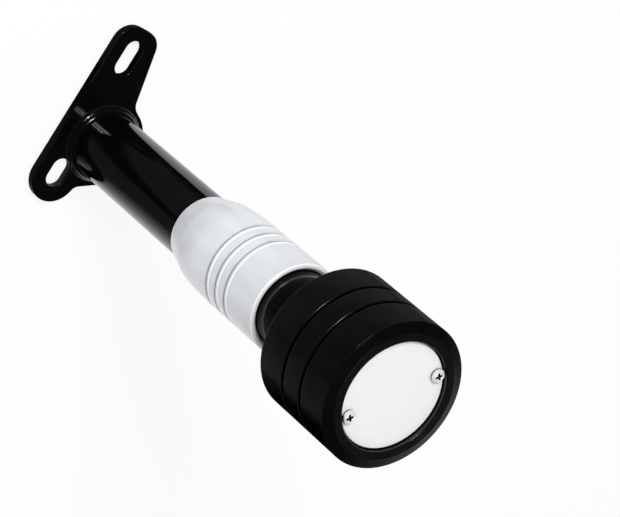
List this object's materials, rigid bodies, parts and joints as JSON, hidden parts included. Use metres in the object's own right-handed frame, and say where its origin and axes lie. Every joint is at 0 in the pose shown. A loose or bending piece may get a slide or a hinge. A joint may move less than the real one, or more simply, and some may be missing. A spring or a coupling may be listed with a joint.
{
  "type": "motorcycle frame slider",
  "caption": "Crash slider for a motorcycle frame: slotted steel bracket and tube, grooved aluminium collar and a nylon puck with a disc in its face.",
  "frame": {"origin": "on the tube's axis, in the bracket's mounting face", "axes": "+Z along the tube from the bracket to the puck's face, +X along the bracket's straight edge to its long ear, +Y towards that straight edge"},
  "size_m": [0.0701, 0.0512, 0.1905],
  "materials": {
    "black_powder_coat": "gloss black powder coat on steel",
    "turned_aluminium": "bright turned aluminium",
    "black_nylon": "satin black nylon, turned",
    "zinc_plated_steel": "bright zinc plate",
    "satin_disc": "pale satin aluminium sheet",
    "bright_chrome": "polished chrome plate"
  },
  "bodies": {
    "root": {"mounting_plate": "black_powder_coat", "standoff_tube": "black_powder_coat", "foot_weld": "black_powder_coat", "threaded_bush": "zinc_plated_steel", "collar": "turned_aluminium", "puck": "black_nylon", "crush_sleeve": "zinc_plated_steel", "flat_washer": "zinc_plated_steel", "spring_washer": "zinc_plated_steel", "main_bolt": "zinc_plated_steel", "badge_disc": "satin_disc", "badge_screw_1": "bright_chrome", "badge_screw_2": "bright_chrome"}
  },
  "joints": []
}
